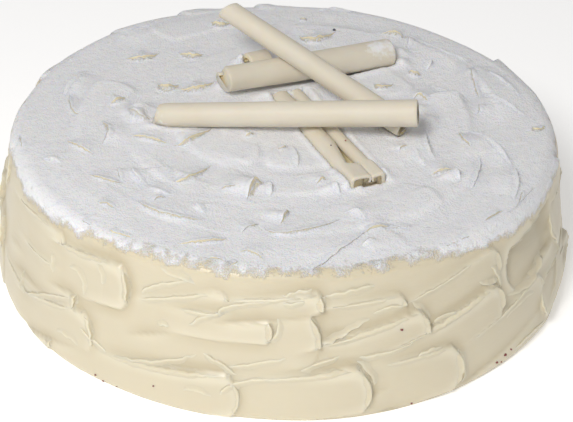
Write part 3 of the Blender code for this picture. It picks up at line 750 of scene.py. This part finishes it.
# Small ridges between the passes round the wall: start, middle and end, as
# millimetres right of the front middle and above the base, and the height.
WALL_RIDGES = (
    (-88, 33, -107, 25, -122, 17, 0.7), (-96, 43, -87, 43.5, -85, 35, 1.0),
    (-106, 44, -105, 42, -104, 36, 0.9), (-127, 25, -125.5, 20, -123, 15, 0.9),
    (-51, 60, -43, 58, -33, 56, 0.9), (-31, 59, -51, 52, -57, 46, 0.7),
    (-69, 15, -78, 19, -85, 22, 0.9), (-30, 28, -48, 20, -70, 16, 1.0),
    (-15, 20, -23, 25, -31, 28, 1.0), (5, 54, -19, 50, -23, 44, 0.8),
    (-21, 47, -30, 44, -37, 38, 0.7), (5, 21, -15, 18, -22, 11, 0.9), (-1, 48, -1, 40, -6, 37, 0.8),
    (5, 30, -7, 27, -22, 23, 0.7), (41, 57, 29, 56, 17, 54, 1.0), (52, 46, 44, 47, 37, 44.5, 0.8),
    (16, 35.5, 25, 37, 38, 44, 0.8), (56, 31, 45, 28.5, 30, 27.5, 0.9),
    (79, 36, 69, 37, 63, 34, 0.8), (26, 28.5, 16, 26.5, 8, 23, 0.9), (30, 27, 36, 20, 38, 14, 0.9),
    (68, 24, 61, 24.5, 55, 23, 0.9), (74, 20, 78, 12, 77, 2, 1.0), (14, 58, 8, 57, 0, 55.5, 0.8),
    (11, 54, 6, 53, 0, 52, 0.6), (54, 47, 59, 41, 63, 35, 0.8), (100, 33, 119, 31, 134, 37, 1.2),
    (133, 12, 146, 20, 150, 34, 1.2), (134, 3.5, 118, 6, 105, 3.5, 0.9),
    (93, 50, 97, 44, 99, 38, 1.3), (86, 46, 93, 42, 98, 43, 1.0), (-50, 34, -47, 36, -44, 36, 0.8),
    (-80, 52, -76, 49, -75, 44, 0.7), (-100, 12, -92, 14, -85, 12, 0.7),
    (-38, 10, -31, 12, -25, 10, 0.7), (100, 22, 110, 26, 122, 25, 0.8),
)
HIDDEN_RIDGES = 36


def on_wall(places, lift):
    """A place on the wall laid flat, kept between the base and the top."""
    height = np.clip(places[..., 1], 0.2 * MM, CAKE_HEIGHT - 0.2 * MM)
    return wall_place(places[..., 0], height, lift)


def wall_ridges():
    """The slight ridges round the wall, with others drawn by chance on its far side."""
    draw = random.Random(11)
    rows = list(WALL_RIDGES)
    for _ in range(HIDDEN_RIDGES):
        u, v, length = draw.uniform(150, 560), draw.uniform(6, 54), draw.uniform(8, 26)
        rise = draw.uniform(-0.35, 0.35) * length
        rows.append((u + length, v + rise, u + length / 2, v + rise / 2 + draw.uniform(0, 3), u, v,
                     draw.uniform(0.5, 0.8)))
    lines = np.array([np.stack(lip_line(row, CREST_PARTS, 0.1), axis=-1) for row in rows])
    sides = left_of(lines)
    lines = wavering(lines, sides, 300, 0.6 * MM)
    rise = np.array([row[6] for row in rows])[:, None] * 0.6 * MM * uneven(lines, 350, 0.8)
    return lip_strips(lines, sides, rise, np.zeros(len(lines)), on_wall)


def wall_lips():
    """The crests where passes round the wall lift off, and those along their upper edges."""
    lines, sides, shown = [], [], []
    for order, (start, low_v, end, high_v, half_width, low, high, tilt) in enumerate(WALL_PASSES):
        length = math.hypot(end - start, high_v - low_v)
        cos, sin = (end - start) / length, (high_v - low_v) / length
        over = math.copysign(1, end - start)
        way = np.linspace(0, 1, PASS_STATIONS)
        across = half_width * (0.93 - 1.86 * way)
        off_along = length - 0.45 * half_width * (across / half_width) ** 2 - 0.9
        edge_along = 0.08 * length + way * (0.92 * length - 0.3 * half_width)
        edge_across = np.full(PASS_STATIONS, float(half_width) - 0.35)
        for along, aside, is_edge in ((off_along, across, False), (edge_along, edge_across, True)):
            u = (start + along * cos - aside * sin * over) * MM
            v = (low_v + along * sin + aside * cos * over) * MM
            line = np.stack([u, v], axis=-1)
            inward = np.array([sin, -cos]) * over if is_edge else np.array([-cos, -sin])
            side = left_of(line)
            side = side * np.sign(side @ inward)[:, None]
            left = np.ones(PASS_STATIONS)
            for later in WALL_PASSES[order + 1:]:
                gone, beside, reach = beside_pass(u, v, *later[:4])
                left = left * (1 - pass_cover(gone, beside, reach, later[4] * MM, WALL_SOFTNESS)[0])
            left = left * eased((57 * MM - v) / (4 * MM)) * eased((v - 0.5 * MM) / (1.5 * MM))
            lines.append(line)
            sides.append(side)
            shown.append(eased(left))
    lines, sides, shown = np.array(lines), np.array(sides), np.array(shown)
    lines = wavering(lines, sides, 300, 0.4 * MM)
    inside = wall_relief(*np.moveaxis(lines + 1.5 * MM * sides, -1, 0))
    outside = wall_relief(*np.moveaxis(lines - 1.5 * MM * sides, -1, 0))
    rise = np.clip(0.3 * (inside - outside) + 0.25 * MM, 0.1 * MM, 0.8 * MM) * uneven(lines, 350, 0.6)
    covered = 0.5 * MM * (1 - shown)

    def place_at(places, lift):
        return on_wall(places, lift - covered)

    return lip_strips(lines, sides, rise * shown, np.zeros(len(lines)), place_at)


crests = {"top_lips": top_lips(), "wall_lips": wall_lips(), "wall_ridges": wall_ridges()}
for name, (points, faces, bare, painted_tone) in crests.items():
    mesh = mesh_from(name, points.tolist(), faces)
    # Painted shade and light along each crest, with bare faces raised past 1.
    add_layers(mesh, sugar=(1 - bare) * sugar_over_rim(points), ridge=painted_tone + LIP_BARE_TONE * bare)
    place_piece(name, mesh, cream_and_sugar)

# The chocolate rolls.
# White chocolate spread thin and pushed up with a scraper while it sets, so that it
# rolls itself into tight scrolls. Each lies loose on its neighbours or is pressed
# into the frosting.
SHEET = 1.7 * MM
CLEARANCE = 0.3 * MM
SEAM_POWER = 2.5
ROLL_RIPPLE = 0.12 * MM
SLIM_RADIUS = 5.5 * MM
BROAD_RADIUS = 6.3 * MM
DOUBLE_LEFT_RADIUS = 4.2 * MM
DOUBLE_RIGHT_RADIUS = 3.5 * MM
DOUBLE_WIDTH = 9.1 * MM
CURL_HALF_WIDTH = 5.2 * MM
CURL_HALF_HEIGHT = 4.4 * MM
# Where handling has smeared sugar on the rolls: the place, in millimetres, and how far.
SUGAR_SMEARS = ((40, 51, 74, 6), (44, 54, 71, 5), (-52, -4, 66, 4), (33, -44, 63, 3), (-22, 19, 66, 4),
                (51, -9, 64, 4), (2, 24, 62, 4))
CHOCOLATE = (0.72, 0.65, 0.525)
CHOCOLATE_PALE = (0.77, 0.72, 0.61)
# The inside of each scroll is painted golden, a painted glow of light through the thin sheet where it
# lies in shade.
CHOCOLATE_PAINTED_GLOW = (0.93, 0.76, 0.43)


def scroll_outline(radius, turns, seam, squash=1.0, steps=64, winding=1, shave=0.0, roundness=2.0):
    """Cross-section of a sheet rolled into a scroll, outer face then inner face."""
    pitch = SHEET + CLEARANCE
    count = int(round(turns * steps))
    outer, inner = [], []
    for step in range(count + 1):
        laps, part_lap = divmod(step / steps, 1)
        angle = seam + winding * 2 * math.pi * step / steps
        cos, sin = math.cos(angle), math.sin(angle)
        fullness = (abs(cos) ** roundness + abs(sin) ** roundness) ** (-1 / roundness)
        reach = radius - pitch * (laps + part_lap ** SEAM_POWER)
        ends = min(step, count - step)
        rounding = 0.35 * SHEET * max(0.0, 1 - ends / 3) ** 2
        far = (reach - shave - rounding) * fullness
        near = (reach - SHEET + shave + rounding) * fullness
        outer.append((far * cos, squash * far * sin))
        inner.append((near * cos, squash * near * sin))
    return outer + inner[::-1]


def swept_mesh(name, outline_at, start, end, end_shift=None, length_steps=56):
    """A closed solid with a changing outline along a straight line, its ends rounded."""
    start, end = Vector(start) * MM, Vector(end) * MM
    line = (end - start).normalized()
    right = line.cross(Vector((0, 0, 1))).normalized()
    up = right.cross(line)
    length = (end - start).length
    rounded = 0.45 * MM
    stations = [(0.0, rounded), (0.25 * rounded, 0.5 * rounded), (rounded, 0.0)]
    stations += [(length * step / length_steps, 0.0) for step in range(1, length_steps)]
    stations += [(length - rounded, 0.0), (length - 0.25 * rounded, 0.5 * rounded), (length, rounded)]
    points, hollow = [], []
    for distance, shave in stations:
        t = distance / length
        ring = outline_at(t, shave)
        for place, (a, b) in enumerate(ring):
            point = start + line * distance + right * a + up * b
            if end_shift:
                point += line * end_shift(t, place, len(ring), a, b)
            bumpy = noise.noise(Vector((a, b, 0)) * 260 + line * distance * 60 + start * 90)
            point += (right * a + up * b).normalized() * ROLL_RIPPLE * bumpy
            points.append(point)
            hollow.append(0.0 if place < len(ring) / 2 else 1.0)
    size = len(outline_at(0, 0))
    faces = []
    for row in range(len(stations) - 1):
        for place in range(size):
            after = (place + 1) % size
            a, b = row * size + place, row * size + after
            faces.append((a, b, b + size, a + size))
    faces.append(tuple(reversed(range(size))))
    faces.append(tuple(range((len(stations) - 1) * size, len(stations) * size)))
    mesh = mesh_from(name, points, faces, largest_face=4)
    mesh.set_sharp_from_angle(angle=math.radians(50))
    spots = np.array([tuple(point) for point in points])
    smear = np.zeros(len(points))
    for x, y, z, spread in SUGAR_SMEARS:
        away = np.linalg.norm(spots / MM - (x, y, z), axis=1) / spread
        smear = np.maximum(smear, np.exp(-away ** 2))
    add_layers(mesh, hollow=hollow, smear=smear)
    return mesh


def front_roll():
    """The slim roll across the front, its left end pressed into the frosting."""
    def outline_at(t, shave):
        radius = SLIM_RADIUS * (0.86 + 0.14 * min(1, t / 0.04)) * (1 + 0.12 * t)
        return scroll_outline(radius, 1.75, math.radians(215), shave=shave)

    def slant(t, place, size, a, b):
        return (0.35 * b + 0.3 * MM * math.sin(5 * a / MM)) * max(0, 1 - t / 0.02)

    return swept_mesh("front_roll_fine", outline_at, *ROLL_LINES["front_roll"][:2], slant)


def long_roll():
    """The long roll that leans from the frosting up over the broad roll."""
    def outline_at(t, shave):
        radius = SLIM_RADIUS * (1 - 0.06 * t)
        return scroll_outline(radius, 1.6, math.radians(300), 0.97, winding=-1, shave=shave)

    def slant(t, place, size, a, b):
        return (-0.41 * (0.75 * a + 0.66 * b) - 0.8 * MM) * max(0, 1 - (1 - t) / 0.08)

    return swept_mesh("long_roll_fine", outline_at, *ROLL_LINES["long_roll"][:2], slant)


def broad_roll():
    """The broad, slightly flattened roll behind, open at its left end."""
    def outline_at(t, shave):
        radius = BROAD_RADIUS * (1 + 0.15 * t)
        return scroll_outline(radius, 1.4, math.radians(-130), 0.96, winding=-1, shave=shave)

    def telescope(t, place, size, a, b):
        layer = (place if place < size / 2 else size - 1 - place) / (size / 2)
        lowness = (1 - b / BROAD_RADIUS) / 2
        return (8 * (1 - layer) * lowness - 5 * min(1, 1.6 * layer)) * MM * max(0, 1 - t / 0.15)

    return swept_mesh("broad_roll_fine", outline_at, *ROLL_LINES["broad_roll"][:2], telescope)


def double_scroll():
    """One sheet rolled in from both sides. A slit between the two scrolls opens
    towards the front and ends where their flattened tops meet."""
    def outline_at(t, shave):
        opening = max(0.0, min(1.0, (t - 0.59) / 0.25))
        flat = max(0.0, min(1.0, (t - 0.84) / 0.03))
        slit = (0.5 + 3.7 * opening) * MM * (1 - flat) + 0.12 * MM * flat
        roundness = 2 + 3 * flat
        seam = math.radians(-90)
        left = scroll_outline(DOUBLE_LEFT_RADIUS, 1.25, seam, 0.95, 48, 1, shave, roundness)
        right = scroll_outline(DOUBLE_RIGHT_RADIUS, 1.25, seam, 1.0, 48, -1, shave, roundness)
        half = len(left) // 2
        stretch = (DOUBLE_WIDTH - slit) / (max(a for a, b in left) - min(a for a, b in left))
        left = [(a * stretch, b) for a, b in left]
        left_side = min(a for a, b in left)
        right_side = max(a for a, b in right)
        left = [(a - left_side + slit, b) for a, b in left]
        right = [(a - right_side, b) for a, b in right]
        return right[:half][::-1] + left + right[half:][::-1]

    return swept_mesh("double_scroll_fine", outline_at, *ROLL_LINES["double_scroll"][:2], length_steps=90)


def small_curl():
    """A broken piece of curl lying behind the broad roll."""
    def outline_at(t, shave):
        angles = [math.radians(degrees) for degrees in range(-20, 201, 5)]
        wide, tall = CURL_HALF_WIDTH - shave, CURL_HALF_HEIGHT - shave
        outer = [(wide * math.cos(angle), tall * math.sin(angle)) for angle in angles]
        inner = [(0.68 * a, 0.62 * b - 0.2 * MM) for a, b in outer]
        return outer + inner[::-1]

    return swept_mesh("small_curl_fine", outline_at, *ROLL_LINES["small_curl"][:2], length_steps=16)


def chocolate_material():
    material, shader, paint = new_material("white_chocolate")
    place = paint.place()
    cloud = paint.noise(place, 60, 4, 0.6)
    freckle = paint.noise(place, 900, 2, 0.5)
    body = paint.blend((cloud * 1.6 - 0.3).clamped(), colour(CHOCOLATE), colour(CHOCOLATE_PALE))
    # Painted glow: the inner face of the sheet is painted golden.
    body = paint.blend((paint.layer("hollow") * 0.9).clamped(), body, colour(CHOCOLATE_PAINTED_GLOW))
    grains = (paint.noise(place, 420, 3, 0.65) - 0.5) * 2.4
    dust = (paint.layer("smear") * 1.6 + grains - 0.55).clamped()
    paint.blend(dust * 0.85, body, colour(SUGAR, 0.95)).feed(shader, "Base Color")
    (0.5 + 0.15 * cloud).feed(shader, "Roughness")
    height = cloud * 0.5 + freckle * 0.25
    paint.bump(height, 0.25, 0.4 * MM).feed(shader, "Normal")
    set_sockets(shader, {"Subsurface Weight": 0.4, "Subsurface Radius": (1.0, 0.7, 0.35),
                         "Subsurface Scale": 3 * MM})
    return material


white_chocolate = chocolate_material()
for mesh in (front_roll(), long_roll(), broad_roll(), double_scroll(), small_curl()):
    roll = place_piece(mesh.name, mesh, white_chocolate)
    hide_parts(mesh.name.removesuffix("_fine"))

# Crumbs.
# Tiny crumbs of the red cake stick to the frosting near the base, and a few dark
# specks of it have fallen on the top and on one roll.
RED_CRUMB = (0.27, 0.06, 0.05)
DARK_CRUMB = (0.10, 0.10, 0.13)

# Each crumb on the wall: millimetres right of the front middle, height and size.
WALL_CRUMBS = ((96, 4.2, 1.1), (101, 5.4, 1.3), (104.5, 6.2, 0.9), (54, 1.6, 0.9), (-73, 0.8, 0.9),
               (-49, 9, 0.8), (-76, 3, 0.9), (49, 37, 1.1), (-66, 1.4, 0.6), (99, 2.8, 0.7))
# Each crumb on the top: its place, its size, and how dark it is.
TOP_CRUMBS = ((21, 81, 65.2, 1.3, 1.0), (24.9, -20.1, 68.0, 0.7, 0.0), (18.9, -23.8, 67.9, 0.6, 1.0))
WALL_DARKNESS = 0.25


def crumbs_mesh():
    draw = random.Random(3)
    spots = []
    for u, v, size in WALL_CRUMBS:
        spot = wall_place(np.array([u * MM]), np.array([v * MM]), 0.15 * MM)[0]
        spots.append((Vector(spot), size * MM, WALL_DARKNESS))
    for x, y, z, size, dark in TOP_CRUMBS:
        spots.append((Vector((x, y, z)) * MM, size * MM, dark))
    shape = bmesh.new()
    darkness = []
    for spot, size, dark in spots:
        ball = bmesh.ops.create_icosphere(shape, subdivisions=2, radius=size / 2)
        flat = draw.uniform(0.6, 0.9)
        for vert in ball["verts"]:
            rough = 1 + 0.45 * noise.noise(vert.co * 1800 + spot * 900)
            vert.co = Vector((vert.co.x * rough, vert.co.y * rough, vert.co.z * rough * flat)) + spot
            darkness.append(dark)
    mesh = bpy.data.meshes.new("crumbs")
    shape.to_mesh(mesh)
    shape.free()
    mesh.shade_smooth()
    add_layers(mesh, dark=darkness)
    return mesh


def crumb_material():
    material, shader, paint = new_material("crumb")
    paint.blend(paint.layer("dark"), colour(RED_CRUMB), colour(DARK_CRUMB)).feed(shader, "Base Color")
    pores = paint.noise(paint.place(), 2600, 2, 0.6)
    paint.bump(pores, 0.6, 0.2 * MM).feed(shader, "Normal")
    set_sockets(shader, {"Roughness": 0.9})
    return material


place_piece("crumbs", crumbs_mesh(), crumb_material())

# The stage.
# A plain white table in soft daylight: a broad window in front and a little to the
# left, and weaker light from all round.
HALF_FLOOR = 3.0
WINDOW_PLACE = Vector((-0.265, -0.69, 0.77))
WINDOW_WIDTH = 0.34
WINDOW_POWER = 6.6
WINDOW_TINT = (1.0, 0.988, 0.98)
ROOM_TINT = (1.0, 0.985, 0.97, 1)
ROOM_STRENGTH = 0.36
AIM = Vector((1.5, 0, 18.8)) * MM
CAMERA_RISE = math.radians(34)
CAMERA_ROLL = math.radians(1.6)
CAMERA_DISTANCE = 767 * MM
LENS = 110.67

floor_mesh = bpy.data.meshes.new("floor")
floor_mesh.from_pydata([(-HALF_FLOOR, -HALF_FLOOR, 0), (HALF_FLOOR, -HALF_FLOOR, 0),
                        (HALF_FLOOR, HALF_FLOOR, 0), (-HALF_FLOOR, HALF_FLOOR, 0)], [], [(0, 1, 2, 3)])
floor = bpy.data.objects.new("floor", floor_mesh)
bpy.context.scene.collection.objects.link(floor)
tabletop, tabletop_shader, _ = new_material("tabletop")
set_sockets(tabletop_shader, {"Base Color": (0.97, 0.97, 0.97, 1), "Roughness": 0.9,
                              "Emission Color": (1, 1, 1, 1), "Emission Strength": 0.3})
floor_mesh.materials.append(tabletop)

front_window = bpy.data.lights.new("front_window", "AREA")
front_window.shape = "DISK"
front_window.size = WINDOW_WIDTH
front_window.energy = WINDOW_POWER
front_window.color = WINDOW_TINT
lamp = bpy.data.objects.new("front_window", front_window)
lamp.location = WINDOW_PLACE
lamp.rotation_euler = (Vector((0, 0, 0.04)) - WINDOW_PLACE).to_track_quat("-Z", "Y").to_euler()
bpy.context.scene.collection.objects.link(lamp)

room = bpy.data.worlds.new("room")
room.use_nodes = True
set_sockets(room.node_tree.nodes["Background"], {"Color": ROOM_TINT, "Strength": ROOM_STRENGTH})
bpy.context.scene.world = room
bpy.context.scene.view_settings.view_transform = "Standard"

back = Vector((0, -math.cos(CAMERA_RISE), math.sin(CAMERA_RISE)))
level_right = Vector((1, 0, 0))
level_up = back.cross(level_right)
right = math.cos(CAMERA_ROLL) * level_right + math.sin(CAMERA_ROLL) * level_up
up = math.cos(CAMERA_ROLL) * level_up - math.sin(CAMERA_ROLL) * level_right
camera = bpy.data.objects.new("camera", bpy.data.cameras.new("camera"))
camera.data.lens = LENS
camera.data.sensor_width = 36
camera.data.clip_start = 0.01
turned = Matrix((right, up, back)).transposed().to_4x4()
camera.matrix_world = Matrix.Translation(AIM + back * CAMERA_DISTANCE) @ turned
bpy.context.scene.collection.objects.link(camera)
bpy.context.scene.camera = camera
